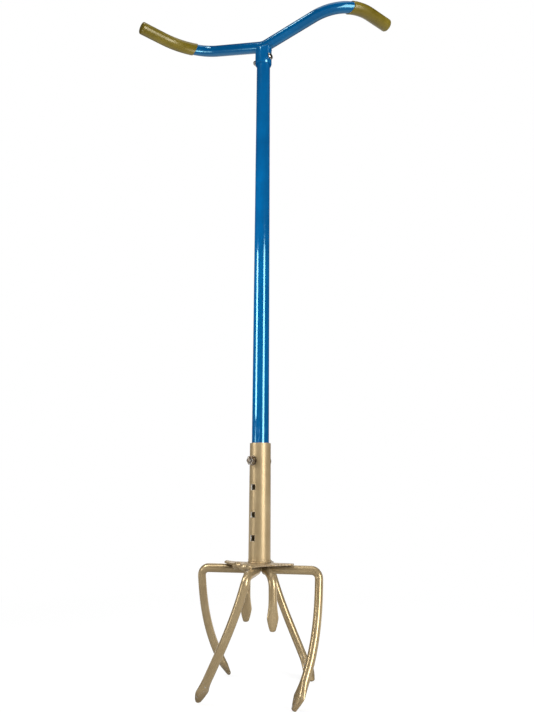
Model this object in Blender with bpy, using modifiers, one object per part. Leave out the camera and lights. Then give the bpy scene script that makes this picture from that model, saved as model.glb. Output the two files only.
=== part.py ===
"""Hand-twist garden cultivator: an S-shaped handlebar on a long tube, over a head of curved tines.

The four outer tines and the two short inner ones hang from a plate. The long tube slides in the
short tube that is welded on the plate, and a through bolt holds it at one of four heights.

Metres, +Z up. The origin is on the axis of the tubes, level with the tips of the outer tines. The arms
of the outer tines lie along X and Y. Bearings are degrees counter-clockwise from +X, seen from above.
"""
import math

import bmesh
import bpy
from mathutils import Matrix, Vector

# Clearances between pieces
TOUCH_GAP = 0.0003
SLIDE_GAP = 0.0004
BOLT_PLAY = 0.0006

# Tine rod and the head's layout
ROD_D = 0.0098
ARM_HEIGHT = 0.1248
ARM_END_SPACE = 0.0030
OUTER_COUNT = 4
OUTER_RADIUS = 0.0720
OUTER_SPREAD = 0.0016
BEND_RADIUS = 0.0090
SWEEP_AT_TOP = 27.0
SWEEP_CURL = 21.0

# Inner tines
INNER_COUNT = 2
INNER_BEARING = -49.0
INNER_RADIUS = 0.0313
INNER_STRAIGHT = 0.0010
INNER_TIP_HEIGHT = 0.0644

# Spear points that the rods' ends are forged into
BLADE_LENGTH = 0.0290
BLADE_WIDEST = 0.0137
BLADE_WIDTH = 0.0170
BLADE_THICKNESS = 0.0075
INNER_BLADE_WIDTH = 0.0148
INNER_BLADE_TURN = 80.0
POINT_WIDTH = 0.0048
POINT_THICKNESS = 0.0042
POINT_ROUND = 0.0012
POINT_END_SHARE = 0.6
TIP_GROUND_OFF = 0.0008

# Plate between the tines and the tube: its corners lie over the arms at -Y, +X and -X
PLATE_CORNERS = (
    (0.0005, -0.0464), (0.0085, -0.0310), (0.0425, -0.0085), (0.0425, -0.0025), (-0.0425, 0.0060),
    (-0.0425, -0.0050),
)
PLATE_THICKNESS = 0.0020
PLATE_TAB_MARGIN = 0.0010
PLATE_TAB_TAPER = 0.0020
PLATE_CURL_START = -0.0290
PLATE_CURL_RISE = 0.0012

# Lower tube
LOWER_TUBE_D = 0.0270
LOWER_TUBE_WALL = 0.0020
LOWER_TUBE_LENGTH = 0.1382
RIM_CHAMFER = 0.0005
HOLE_FROM_TOP = 0.0217
HOLE_DROPS = (0.0, 0.0317, 0.0635, 0.0896)
HOLE_ABOVE_FOOT = 0.0080
WELD_LEG = 0.0018
WELD_FULLNESS = 1.3

# Long tube
SHAFT_WALL = 0.0015
SHAFT_LENGTH = 0.6840
SHAFT_BELOW_BOLT = 0.0233

# Socket under the handlebar
SOCKET_WALL = 0.0024
SOCKET_DEPTH = 0.0280
SOCKET_CHAMFER = 0.0006
SADDLE_RISE = 0.0025
SHAFT_TO_BAR = 0.0044
HANDLE_BOLT_UP = 0.0145

# Handlebar: a short bend at the middle, a straight arm, a long bend and a straight end, twice
BAR_D = 0.0190
BAR_WALL = 0.0016
BAR_MIDDLE_BEND = 0.0240
BAR_ARM_BEARING = -15.1
BAR_ARM_RISE = 16.7
BAR_ARM_LENGTH = 0.0890
BAR_BEND = 0.0932
BAR_END_BEARING = 47.3
BAR_END_RISE = 0.5
BAR_END_LENGTH = 0.0398

# Grips, one dipped deeper than the other
GRIP_WALL = 0.0010
GRIP_END_WALL = 0.0030
GRIP_ROUND = 0.0028
LEFT_GRIP_COVERS = 0.0990
RIGHT_GRIP_COVERS = 0.0800

# Carriage bolt, washer and nut that hold the chosen height
HEIGHT_BOLT_BEARING = 60.0
HEIGHT_BOLT_D = 0.0060
HEIGHT_HEAD_D = 0.0125
HEIGHT_HEAD_RISE = 0.0030
HEIGHT_NUT_ACROSS = 0.0100
HEIGHT_NUT_HEIGHT = 0.0050
WASHER_D = 0.0120
WASHER_THICKNESS = 0.0012
WASHER_CHAMFER = 0.0002

# Smaller carriage bolt and nut that hold the handle
HANDLE_BOLT_BEARING = -25.0
HANDLE_BOLT_D = 0.0050
HANDLE_HEAD_D = 0.0115
HANDLE_HEAD_RISE = 0.0028
HANDLE_NUT_ACROSS = 0.0080
HANDLE_NUT_HEIGHT = 0.0044

# What both bolts share
NECK_LENGTH = 0.0019
HEAD_RIM = 0.0004
THREAD_BEYOND_NUT = 0.0015
THREAD_CHAMFER = 0.0006
NUT_FACE_SHARE = 0.98

# Facets
TURN_STEPS = 32
SMALL_TURN_STEPS = 24
ROD_SIDES = 12
PLATE_CURL_ROWS = 4
ROUNDING_STEPS = 4
BAR_BEVEL_RESOLUTION = 6
BEND_STEP = 6.0
TINE_STEP = 0.0062
SMOOTH_ANGLE = 35.0
CUT_BEYOND = 0.0200
LEVEL_RUN_SLOPE = 0.2
FLARE_EASE = 1.4

# Sizes and heights that follow from those above
ARM_START = ROD_D / 2 + ARM_END_SPACE
INNER_SLANT = math.radians(abs(INNER_BEARING))
INNER_ARM_START = (ROD_D / 2 * (1 + math.sin(INNER_SLANT)) + TOUCH_GAP) / math.cos(INNER_SLANT)
INNER_BEND = INNER_RADIUS - INNER_ARM_START - INNER_STRAIGHT
SHAFT_D = LOWER_TUBE_D - 2 * LOWER_TUBE_WALL - 2 * SLIDE_GAP
SOCKET_D = SHAFT_D + 2 * TOUCH_GAP + 2 * SOCKET_WALL
PLATE_BOTTOM = ARM_HEIGHT + ROD_D / 2 + TOUCH_GAP
PLATE_TOP = PLATE_BOTTOM + PLATE_THICKNESS
LOWER_TUBE_BOTTOM = PLATE_TOP + TOUCH_GAP
LOWER_TUBE_TOP = LOWER_TUBE_BOTTOM + LOWER_TUBE_LENGTH
HEIGHT_BOLT_Z = LOWER_TUBE_TOP - HOLE_FROM_TOP
SHAFT_BOTTOM = HEIGHT_BOLT_Z - SHAFT_BELOW_BOLT
SHAFT_TOP = SHAFT_BOTTOM + SHAFT_LENGTH
SOCKET_BOTTOM = SHAFT_TOP - SOCKET_DEPTH
HANDLE_BOLT_Z = SOCKET_BOTTOM + HANDLE_BOLT_UP
BAR_Z = SHAFT_TOP + SHAFT_TO_BAR + BAR_D / 2
SOCKET_TOP = BAR_Z - BAR_D / 2 + SADDLE_RISE

PARTS = "garden_cultivator"
CUTTERS = "cutters"


def start_scene():
    """Empties the scene and adds the two collections."""
    for old in list(bpy.data.objects):
        bpy.data.objects.remove(old, do_unlink=True)
    for name in (PARTS, CUTTERS):
        group = bpy.data.collections.new(name)
        bpy.context.scene.collection.children.link(group)


def material(name, colour, metallic, roughness):
    """A Principled material in one colour."""
    mat = bpy.data.materials.new(name)
    mat.use_nodes = True
    shader = mat.node_tree.nodes["Principled BSDF"]
    shader.inputs["Base Color"].default_value = (*colour, 1)
    shader.inputs["Metallic"].default_value = metallic
    shader.inputs["Roughness"].default_value = roughness
    return mat


def add_piece(name, data, finish, parent=None):
    """A part made from a mesh."""
    piece = bpy.data.objects.new(name, data)
    bpy.data.collections[PARTS].objects.link(piece)
    data.materials.clear()
    data.materials.append(finish)
    piece.parent = parent
    return piece


def add_cutter(name, data, parent=None):
    """A guide that a Boolean uses, left out of the build."""
    cutter = bpy.data.objects.new(name, data)
    bpy.data.collections[CUTTERS].objects.link(cutter)
    cutter.hide_render = True
    cutter.display_type = "WIRE"
    cutter.parent = parent
    return cutter


def add_empty(name, z, bearing):
    """A frame for the pieces on a level axis across the tubes, its own Z along the bearing."""
    empty = bpy.data.objects.new(name, None)
    bpy.data.collections[CUTTERS].objects.link(empty)
    empty.location.z = z
    empty.rotation_euler = (0, math.radians(90), math.radians(bearing))
    return empty


def boolean(piece, operation, other):
    """Joins or cuts with the EXACT solver."""
    change = piece.modifiers.new(other.name, "BOOLEAN")
    change.operation = operation
    change.solver = "EXACT"
    change.object = other


def smooth(piece):
    """Smooth shading with the corners kept sharp."""
    piece.data.shade_smooth()
    piece.data.set_sharp_from_angle(angle=math.radians(SMOOTH_ANGLE))


def turned(name, profile, steps, make, *args, closed=True):
    """A turned piece: profile is (radius, z) points down the outer side, closed round to a ring or left
    open where both ends are on the axis."""
    data = bpy.data.meshes.new(name)
    edges = [(i, i + 1) for i in range(len(profile) - 1)]
    if closed:
        edges.append((len(profile) - 1, 0))
    data.from_pydata([(r, 0, z) for r, z in profile], edges, [])
    piece = make(name, data, *args)
    screw = piece.modifiers.new("turn", "SCREW")
    screw.angle = math.radians(360)
    screw.steps = screw.render_steps = steps
    screw.use_merge_vertices = True
    screw.merge_threshold = 0.00001
    screw.use_smooth_shade = True
    return piece


def tube_profile(outer, inner, bottom, top, chamfer):
    """The wall of a tube with its outer rims chamfered."""
    return [
        (outer - chamfer, top),
        (outer, top - chamfer),
        (outer, bottom + chamfer),
        (outer - chamfer, bottom),
        (inner, bottom),
        (inner, top),
    ]


def direction(bearing, rise):
    """The unit vector at a bearing and a rise in degrees."""
    b, e = math.radians(bearing), math.radians(rise)
    return Vector((math.cos(b) * math.cos(e), math.sin(b) * math.cos(e), math.sin(e)))


def bend_points(start, before, after, radius):
    """The points of a circular bend from one direction to another, without its start."""
    angle = before.angle(after)
    side = (after - before.dot(after) * before).normalized()
    count = max(2, round(math.degrees(angle) / BEND_STEP))
    points = []
    for i in range(1, count + 1):
        a = angle * i / count
        points.append(start + radius * (math.sin(a) * before + (1 - math.cos(a)) * side))
    return points


def bar_half():
    """The handlebar's centreline from its middle to the end of one arm."""
    arm = direction(BAR_ARM_BEARING, BAR_ARM_RISE)
    end = direction(BAR_END_BEARING, BAR_END_RISE)
    points = [Vector((0, 0, BAR_Z))]
    points += bend_points(points[-1], direction(BAR_ARM_BEARING, 0), arm, BAR_MIDDLE_BEND)
    points.append(points[-1] + BAR_ARM_LENGTH * arm)
    points += bend_points(points[-1], arm, end, BAR_BEND)
    points.append(points[-1] + BAR_END_LENGTH * end)
    return points


def half_turn(points):
    """The same points on the far side of the shaft."""
    return [Vector((-p.x, -p.y, p.z)) for p in points]


def path_length(points):
    return sum((b - a).length for a, b in zip(points, points[1:]))


def path_from(points, distance):
    """The part of a path that lies past a distance along it."""
    gone = 0
    for i, (a, b) in enumerate(zip(points, points[1:])):
        step = (b - a).length
        if gone + step > distance:
            return [a.lerp(b, (distance - gone) / step)] + points[i + 1:]
        gone += step
    return points[-1:]


def bent_rod(name, points, radii, make, *args):
    """A round bar along a path, as a mesh with its ends welded on."""
    curve = bpy.data.curves.new(name + "_path", "CURVE")
    curve.dimensions = "3D"
    curve.bevel_depth = 1.0
    curve.bevel_resolution = BAR_BEVEL_RESOLUTION
    curve.use_fill_caps = True
    spline = curve.splines.new("POLY")
    spline.points.add(len(points) - 1)
    for knot, point, radius in zip(spline.points, points, radii):
        knot.co = (*point, 1)
        knot.radius = radius
    guide = bpy.data.objects.new(name + "_path", curve)
    bpy.context.scene.collection.objects.link(guide)
    bpy.context.view_layer.update()
    seen = guide.evaluated_get(bpy.context.evaluated_depsgraph_get())
    data = bpy.data.meshes.new_from_object(seen)
    bpy.data.objects.remove(guide, do_unlink=True)
    shape = bmesh.new()
    shape.from_mesh(data)
    bmesh.ops.remove_doubles(shape, verts=shape.verts, dist=0.00001)
    bmesh.ops.recalc_face_normals(shape, faces=shape.faces)
    shape.to_mesh(data)
    shape.free()
    return make(name, data, *args)


def loft(name, rings, cut_height, finish):
    """A closed solid through rings of points, for a rod whose section changes along it, cut level."""
    shape = bmesh.new()
    rows = [[shape.verts.new(p) for p in ring] for ring in rings]
    for one, two in zip(rows, rows[1:]):
        for i in range(len(one)):
            j = (i + 1) % len(one)
            shape.faces.new((one[i], one[j], two[j], two[i]))
    shape.faces.new(reversed(rows[0]))
    shape.faces.new(rows[-1])
    every = shape.verts[:] + shape.edges[:] + shape.faces[:]
    cut = bmesh.ops.bisect_plane(
        shape, geom=every, dist=0.000001, plane_co=(0, 0, cut_height), plane_no=(0, 0, -1), clear_outer=True
    )
    rim = [e for e in cut["geom_cut"] if isinstance(e, bmesh.types.BMEdge)]
    bmesh.ops.edgeloop_fill(shape, edges=rim)
    bmesh.ops.recalc_face_normals(shape, faces=shape.faces)
    data = bpy.data.meshes.new(name)
    shape.to_mesh(data)
    shape.free()
    return add_piece(name, data, finish)


def tine_path(arm_start, radius, spread, bend_radius, rate, curl, tip_height):
    """A tine's centreline with its arm along +X: out, round the bend, down and back round the shaft."""
    down = ARM_HEIGHT - tip_height
    tilt = math.atan(radius * math.radians(rate) / down)
    out = Vector((1, 0, 0))
    fall = Vector((0, -math.sin(tilt), -math.cos(tilt)))
    corner = Vector((radius - bend_radius, 0, ARM_HEIGHT))
    points = [Vector((arm_start, 0, ARM_HEIGHT)), corner]
    points += bend_points(corner, out, fall, bend_radius)
    start = points[-1]
    first = math.atan2(start.y, start.x)
    count = max(6, round((start.z - tip_height) / TINE_STEP))
    for i in range(1, count + 1):
        u = i / count
        bearing = first - math.radians(rate * u + curl * u * u)
        r = radius + spread * u * u
        z = start.z + (tip_height - start.z) * u
        points.append(Vector((r * math.cos(bearing), r * math.sin(bearing), z)))
    return points


def blade_section(left, width):
    """The rod's width and thickness at a distance from the tip: round, flared, then a point."""
    if left >= BLADE_LENGTH:
        return ROD_D, ROD_D
    if left >= BLADE_WIDEST:
        t = (BLADE_LENGTH - left) / (BLADE_LENGTH - BLADE_WIDEST)
        return ROD_D + (width - ROD_D) * t ** FLARE_EASE, ROD_D + (BLADE_THICKNESS - ROD_D) * t
    t = max(0, left - POINT_ROUND) / (BLADE_WIDEST - POINT_ROUND)
    end = POINT_END_SHARE + (1 - POINT_END_SHARE) * min(1, left / POINT_ROUND)
    return (
        (POINT_WIDTH + (width - POINT_WIDTH) * t) * end,
        (POINT_THICKNESS + (BLADE_THICKNESS - POINT_THICKNESS) * t) * end,
    )


def tine_stations(path):
    """Distances along a tine for its rings: the path's own points, and the blade's shoulder and ends."""
    total = path_length(path)
    marks = [total - BLADE_LENGTH, total - BLADE_WIDEST, total - POINT_ROUND]
    gone = [0]
    for a, b in zip(path, path[1:]):
        gone.append(gone[-1] + (b - a).length)
    apart = TINE_STEP / 3
    kept = [g for g in gone[:-1] if min(abs(g - m) for m in marks) > apart]
    return sorted(kept + marks + [total])


def tine(name, path, tip_height, blade_width, blade_turn, bearing, finish):
    """One tine, turned to its bearing and ground level at its tip. The flat of its blade faces round the
    shaft, or is turned on the rod."""
    turn = Matrix.Rotation(math.radians(bearing), 3, "Z")
    c, s = math.cos(math.radians(blade_turn)), math.sin(math.radians(blade_turn))
    distances = tine_stations(path)
    points = [path_from(path, d)[0] for d in distances]
    rings = []
    for i, point in enumerate(points):
        along = (points[min(i + 1, len(points) - 1)] - points[max(i - 1, 0)]).normalized()
        outward = Vector((point.x, point.y, 0)).normalized()
        if abs(along.dot(outward)) > LEVEL_RUN_SLOPE:
            thin = Vector((0, 0, 1)).cross(outward).normalized()
            wide = along.cross(thin).normalized()
        else:
            wide = (outward - along.dot(outward) * along).normalized()
            thin = wide.cross(along).normalized()
        wide, thin = c * wide + s * thin, c * thin - s * wide
        width, thickness = blade_section(distances[-1] - distances[i], blade_width)
        ring = []
        for k in range(ROD_SIDES):
            a = 2 * math.pi * k / ROD_SIDES
            p = point + wide * (width / 2 * math.cos(a)) + thin * (thickness / 2 * math.sin(a))
            ring.append(turn @ p)
        rings.append(ring)
    piece = loft(name, rings, tip_height, finish)
    smooth(piece)
    return piece


def make_tines(finish):
    """Four long tines at quarter turns, and two short ones across from each other."""
    low = -TIP_GROUND_OFF
    outer = tine_path(ARM_START, OUTER_RADIUS, OUTER_SPREAD, BEND_RADIUS, SWEEP_AT_TOP, SWEEP_CURL, low)
    for i in range(OUTER_COUNT):
        tine(f"outer_tine_{i + 1}", outer, 0, BLADE_WIDTH, 0, 360 * i / OUTER_COUNT, finish)
    tip = INNER_TIP_HEIGHT
    inner = tine_path(INNER_ARM_START, INNER_RADIUS, 0, INNER_BEND, 0, 0, tip - TIP_GROUND_OFF)
    for i in range(INNER_COUNT):
        bearing = INNER_BEARING + 360 * i / INNER_COUNT
        tine(f"inner_tine_{i + 1}", inner, tip, INNER_BLADE_WIDTH, INNER_BLADE_TURN, bearing, finish)


def plate_outline():
    """The plate's corners, counter-clockwise from the front, with a tab behind under the tube."""
    side = LOWER_TUBE_D / 2 + TOUCH_GAP + WELD_LEG + PLATE_TAB_MARGIN
    left, right = PLATE_CORNERS[-2], PLATE_CORNERS[-3]
    slope = (right[1] - left[1]) / (right[0] - left[0])
    tab = [
        (side, left[1] + slope * (side - left[0])),
        (side - PLATE_TAB_TAPER, side),
        (PLATE_TAB_TAPER - side, side),
        (-side, left[1] + slope * (-side - left[0])),
    ]
    return [*PLATE_CORNERS[:-2], *tab, *PLATE_CORNERS[-2:]]


def make_plate(finish):
    """A three-cornered sheet on the arms, and its corner at -X curled up by use."""
    shape = bmesh.new()
    shape.faces.new([shape.verts.new((x, y, 0)) for x, y in plate_outline()])
    low = PLATE_CORNERS[-1][0]
    for i in range(PLATE_CURL_ROWS):
        x = PLATE_CURL_START + (low - PLATE_CURL_START) * i / PLATE_CURL_ROWS
        every = shape.verts[:] + shape.edges[:] + shape.faces[:]
        bmesh.ops.bisect_plane(shape, geom=every, plane_co=(x, 0, 0), plane_no=(1, 0, 0))
    curl = PLATE_CURL_RISE / (low - PLATE_CURL_START) ** 2
    for v in shape.verts:
        v.co.z = curl * min(0, v.co.x - PLATE_CURL_START) ** 2
    data = bpy.data.meshes.new("claw_plate")
    shape.to_mesh(data)
    shape.free()
    plate = add_piece("claw_plate", data, finish)
    plate.location.z = PLATE_BOTTOM
    wall = plate.modifiers.new("wall", "SOLIDIFY")
    wall.thickness = PLATE_THICKNESS
    wall.offset = 1
    return plate


def make_lower_tube(finish):
    """The short tube on the plate, square-punched through both walls at each height."""
    outer = LOWER_TUBE_D / 2
    profile = tube_profile(outer, outer - LOWER_TUBE_WALL, LOWER_TUBE_BOTTOM, LOWER_TUBE_TOP, RIM_CHAMFER)
    tube = turned("lower_tube", profile, TURN_STEPS, add_piece, finish)
    for i, drop in enumerate(HOLE_DROPS):
        z = HEIGHT_BOLT_Z - drop
        if z > LOWER_TUBE_BOTTOM + HOLE_ABOVE_FOOT:
            name = f"height_punch_{i + 1}"
            punch = square_punch(name, z, HEIGHT_BOLT_BEARING, -outer - CUT_BEYOND, outer, HEIGHT_BOLT_D)
            boolean(tube, "DIFFERENCE", punch)
    inner = outer + TOUCH_GAP
    foot = PLATE_TOP + TOUCH_GAP
    bead = [(inner, foot + WELD_LEG)]
    for i in range(1, ROUNDING_STEPS + 1):
        a = math.radians(90 * i / (ROUNDING_STEPS + 1))
        out, up = math.sin(a) ** WELD_FULLNESS, math.cos(a) ** WELD_FULLNESS
        bead.append((inner + WELD_LEG * out, foot + WELD_LEG * up))
    bead += [(inner + WELD_LEG, foot), (inner, foot)]
    weld = turned("tube_weld", bead, TURN_STEPS, add_piece, finish)
    return tube, weld


def square_punch(name, z, bearing, start, end, bolt_d):
    """A square bar for a bolt's neck across a tube, from one distance off the axis to beyond another."""
    high = end + CUT_BEYOND
    shape = bmesh.new()
    bmesh.ops.create_cube(shape, size=1)
    bmesh.ops.scale(shape, verts=shape.verts, vec=(high - start, bolt_d + BOLT_PLAY, bolt_d + BOLT_PLAY))
    bmesh.ops.translate(shape, verts=shape.verts, vec=((high + start) / 2, 0, 0))
    data = bpy.data.meshes.new(name)
    shape.to_mesh(data)
    shape.free()
    punch = add_cutter(name, data)
    punch.location.z = z
    punch.rotation_euler.z = math.radians(bearing)
    return punch


def round_drill(name, z, bearing, bolt_d):
    """A round bar across a tube at a bearing."""
    radius = (bolt_d + BOLT_PLAY) / 2
    shape = bmesh.new()
    bmesh.ops.create_cone(
        shape, cap_ends=True, segments=SMALL_TURN_STEPS, radius1=radius, radius2=radius,
        depth=SOCKET_D + 2 * CUT_BEYOND,
    )
    bmesh.ops.rotate(shape, verts=shape.verts, matrix=Matrix.Rotation(math.radians(90), 3, "Y"))
    data = bpy.data.meshes.new(name)
    shape.to_mesh(data)
    shape.free()
    drill = add_cutter(name, data)
    drill.location.z = z
    drill.rotation_euler.z = math.radians(bearing)
    return drill


def make_shaft(finish):
    """The long tube, drilled once at each end."""
    outer = SHAFT_D / 2
    profile = tube_profile(outer, outer - SHAFT_WALL, SHAFT_BOTTOM, SHAFT_TOP, RIM_CHAMFER)
    shaft = turned("main_shaft", profile, TURN_STEPS, add_piece, finish)
    low_drill = round_drill("height_drill", HEIGHT_BOLT_Z, HEIGHT_BOLT_BEARING, HEIGHT_BOLT_D)
    boolean(shaft, "DIFFERENCE", low_drill)
    high_drill = round_drill("handle_drill", HANDLE_BOLT_Z, HANDLE_BOLT_BEARING, HANDLE_BOLT_D)
    boolean(shaft, "DIFFERENCE", high_drill)
    return shaft


def make_handlebar(finish):
    """The bent tube, and the socket under its middle that is cut to fit round it."""
    half = bar_half()
    path = half_turn(half)[:0:-1] + half
    radius = BAR_D / 2
    bar = bent_rod("handlebar", path, [radius] * len(path), add_piece, finish)
    smooth(bar)
    reach = CUT_BEYOND * (half[-1] - half[-2]).normalized()
    longer = half_turn([half[-1] + reach]) + path + [half[-1] + reach]
    bore = bent_rod("handlebar_bore", longer, [radius - BAR_WALL] * len(longer), add_cutter)
    boolean(bar, "DIFFERENCE", bore)

    outer = SOCKET_D / 2
    profile = [
        (outer, SOCKET_TOP),
        (outer, SOCKET_BOTTOM + SOCKET_CHAMFER),
        (outer - SOCKET_CHAMFER, SOCKET_BOTTOM),
        (outer - SOCKET_WALL, SOCKET_BOTTOM),
        (outer - SOCKET_WALL, SOCKET_TOP),
    ]
    socket = turned("handle_socket", profile, TURN_STEPS, add_piece, finish)
    middle = [p for p in path if math.hypot(p.x, p.y) < SOCKET_D * 4]
    saddle = bent_rod("socket_saddle", middle, [radius + TOUCH_GAP] * len(middle), add_cutter)
    boolean(socket, "DIFFERENCE", saddle)
    boolean(socket, "DIFFERENCE", bpy.data.objects["handle_drill"])
    inner = outer - SOCKET_WALL
    punch = square_punch("handle_punch", HANDLE_BOLT_Z, HANDLE_BOLT_BEARING, inner, outer, HANDLE_BOLT_D)
    boolean(socket, "DIFFERENCE", punch)
    return half


def make_grip(name, half, covers, finish):
    """A sleeve with a closed, rounded end over the last stretch of one arm."""
    inner = BAR_D / 2 + TOUCH_GAP
    outer = inner + GRIP_WALL
    end = (half[-1] - half[-2]).normalized()
    start = path_length(half) - covers
    path = path_from(half, start)
    lip = (path[1] - path[0]).normalized()
    face = half[-1] + end * (TOUCH_GAP + GRIP_END_WALL)
    skin = [path[0], path[0] + lip * GRIP_WALL / 2] + path[1:-1]
    radii = [outer - GRIP_WALL / 2] + [outer] * (len(skin) - 1)
    for i in range(ROUNDING_STEPS + 1):
        a = math.radians(90 * i / ROUNDING_STEPS)
        skin.append(face - end * GRIP_ROUND * (1 - math.sin(a)))
        radii.append(outer - GRIP_ROUND * (1 - math.cos(a)))
    grip = bent_rod(name, skin, radii, add_piece, finish)
    smooth(grip)
    bore = [path[0] - lip * CUT_BEYOND] + path[:-1] + [half[-1] + end * TOUCH_GAP]
    boolean(grip, "DIFFERENCE", bent_rod(name + "_bore", bore, [inner] * len(bore), add_cutter))
    return grip


def carriage_bolt(name, axis, size, seat, end, finish):
    """A round-headed bolt from its seat to the end of its thread, with a square neck under the head."""
    shank, head, rise = size["bolt"] / 2, size["head"] / 2, size["rise"]
    profile = [(0, seat + rise)]
    for i in range(1, ROUNDING_STEPS + 1):
        a = math.radians(90 * i / (ROUNDING_STEPS + 1))
        profile.append((head * math.sin(a), seat + HEAD_RIM + (rise - HEAD_RIM) * math.cos(a)))
    profile += [
        (head, seat + HEAD_RIM),
        (head, seat),
        (shank, seat),
        (shank, end + THREAD_CHAMFER),
        (shank - THREAD_CHAMFER, end),
        (0, end),
    ]
    bolt = turned(name + "_bolt", profile, SMALL_TURN_STEPS, add_piece, finish, axis, closed=False)
    sunk = TOUCH_GAP
    shape = bmesh.new()
    bmesh.ops.create_cube(shape, size=1)
    bmesh.ops.scale(shape, verts=shape.verts, vec=(size["bolt"], size["bolt"], NECK_LENGTH + sunk))
    bmesh.ops.translate(shape, verts=shape.verts, vec=(0, 0, seat - (NECK_LENGTH - sunk) / 2))
    data = bpy.data.meshes.new(name + "_neck")
    shape.to_mesh(data)
    shape.free()
    boolean(bolt, "UNION", add_cutter(name + "_neck", data, axis))
    return bolt


def hex_nut(name, axis, size, top, finish):
    """A hexagonal nut with its corners turned off at both faces."""
    flat = size["nut"] / 2
    corner = flat / math.cos(math.radians(30))
    bottom = top - size["nut_height"]
    shape = bmesh.new()
    bmesh.ops.create_cone(
        shape, cap_ends=True, segments=6, radius1=corner, radius2=corner, depth=size["nut_height"]
    )
    bmesh.ops.translate(shape, verts=shape.verts, vec=(0, 0, (top + bottom) / 2))
    data = bpy.data.meshes.new(name + "_nut")
    shape.to_mesh(data)
    shape.free()
    nut = add_piece(name + "_nut", data, finish, axis)
    bore = (size["bolt"] + BOLT_PLAY) / 2
    face = flat * NUT_FACE_SHARE
    slope = (corner - face) / 2
    rounding = [
        (face, top),
        (corner, top - slope),
        (corner, bottom + slope),
        (face, bottom),
        (bore, bottom),
        (bore, top),
    ]
    boolean(nut, "INTERSECT", turned(name + "_nut_form", rounding, SMALL_TURN_STEPS, add_cutter, axis))
    return nut


def make_fastenings(finish):
    """A bolt and nut through each joint of the tubes, on empties that point at the bolts' heads."""
    height = {
        "bolt": HEIGHT_BOLT_D, "head": HEIGHT_HEAD_D, "rise": HEIGHT_HEAD_RISE,
        "nut": HEIGHT_NUT_ACROSS, "nut_height": HEIGHT_NUT_HEIGHT,
    }
    handle = {
        "bolt": HANDLE_BOLT_D, "head": HANDLE_HEAD_D, "rise": HANDLE_HEAD_RISE,
        "nut": HANDLE_NUT_ACROSS, "nut_height": HANDLE_NUT_HEIGHT,
    }
    axis = add_empty("height_axis", HEIGHT_BOLT_Z, HEIGHT_BOLT_BEARING)
    seat = LOWER_TUBE_D / 2 + TOUCH_GAP
    washer_low = -seat - WASHER_THICKNESS
    bore = (HEIGHT_BOLT_D + BOLT_PLAY) / 2
    ring = tube_profile(WASHER_D / 2, bore, washer_low, -seat, WASHER_CHAMFER)
    turned("height_washer", ring, SMALL_TURN_STEPS, add_piece, finish, axis)
    nut_top = washer_low - TOUCH_GAP
    hex_nut("height", axis, height, nut_top, finish)
    carriage_bolt("height", axis, height, seat, nut_top - HEIGHT_NUT_HEIGHT - THREAD_BEYOND_NUT, finish)

    axis = add_empty("handle_axis", HANDLE_BOLT_Z, HANDLE_BOLT_BEARING)
    seat = SOCKET_D / 2 + TOUCH_GAP
    hex_nut("handle", axis, handle, -seat, finish)
    carriage_bolt("handle", axis, handle, seat, -seat - HANDLE_NUT_HEIGHT - THREAD_BEYOND_NUT, finish)


def main():
    start_scene()
    blue = material("blue_paint", (0.0, 0.107, 0.376), 0.0, 0.3)
    gold = material("gold_paint", (0.43, 0.33, 0.19), 0.6, 0.35)
    vinyl = material("olive_vinyl", (0.16, 0.12, 0.013), 0.0, 0.25)
    zinc = material("zinc_plate", (0.6, 0.6, 0.58), 1.0, 0.3)
    make_tines(gold)
    make_plate(gold)
    for piece in make_lower_tube(gold):
        smooth(piece)
    make_shaft(blue)
    half = make_handlebar(blue)
    make_grip("grip_right", half, RIGHT_GRIP_COVERS, vinyl)
    make_grip("grip_left", half_turn(half), LEFT_GRIP_COVERS, vinyl)
    make_fastenings(zinc)


main()
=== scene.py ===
"""Hand-twist garden cultivator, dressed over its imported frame: claw, tubes, handlebar and grips."""

import math

import bmesh
import bpy
from mathutils import Matrix, Vector, noise


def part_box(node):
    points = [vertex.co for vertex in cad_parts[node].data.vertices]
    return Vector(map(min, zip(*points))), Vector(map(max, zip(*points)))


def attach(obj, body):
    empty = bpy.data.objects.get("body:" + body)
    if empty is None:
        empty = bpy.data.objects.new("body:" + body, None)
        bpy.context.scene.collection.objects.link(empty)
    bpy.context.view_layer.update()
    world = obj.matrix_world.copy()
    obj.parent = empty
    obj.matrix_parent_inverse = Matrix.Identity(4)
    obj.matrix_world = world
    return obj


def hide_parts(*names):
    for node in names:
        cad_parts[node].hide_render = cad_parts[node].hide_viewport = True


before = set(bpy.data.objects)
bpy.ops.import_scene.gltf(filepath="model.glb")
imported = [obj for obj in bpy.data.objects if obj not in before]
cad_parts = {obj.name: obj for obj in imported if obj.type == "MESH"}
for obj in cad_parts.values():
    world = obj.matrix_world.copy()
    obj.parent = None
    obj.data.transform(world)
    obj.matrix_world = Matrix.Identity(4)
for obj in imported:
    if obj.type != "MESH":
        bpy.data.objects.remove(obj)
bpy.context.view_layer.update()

# ---- Studio ----
# The tool stands on white paper that rises behind it, seen from low down, in a dim room. Softboxes
# and a card at the sides draw the streaks down the tubes, a lamp high at the left lights the bar's
# arms, and a wide one fills in from above.
bpy.context.scene.view_settings.view_transform = "Standard"

camera_turn, camera_pitch, camera_roll = (math.radians(a) for a in (10.386, 111.009, 0.241))
bpy.ops.object.select_all(action="DESELECT")
bpy.ops.object.camera_add(location=(0.1461, -0.7509, 0.2088))
camera = bpy.context.object
camera.name = "photo_camera"
aim = Matrix.Rotation(camera_turn, 3, "Z") @ Matrix.Rotation(camera_pitch, 3, "X")
aim = aim @ Matrix.Rotation(camera_roll, 3, "Z")
camera.rotation_euler = aim.to_euler()
camera.data.lens = 28.685
camera.data.shift_x = -0.0007
camera.data.shift_y = -0.1117
camera.data.clip_start = 0.01
bpy.context.scene.camera = camera

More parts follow.
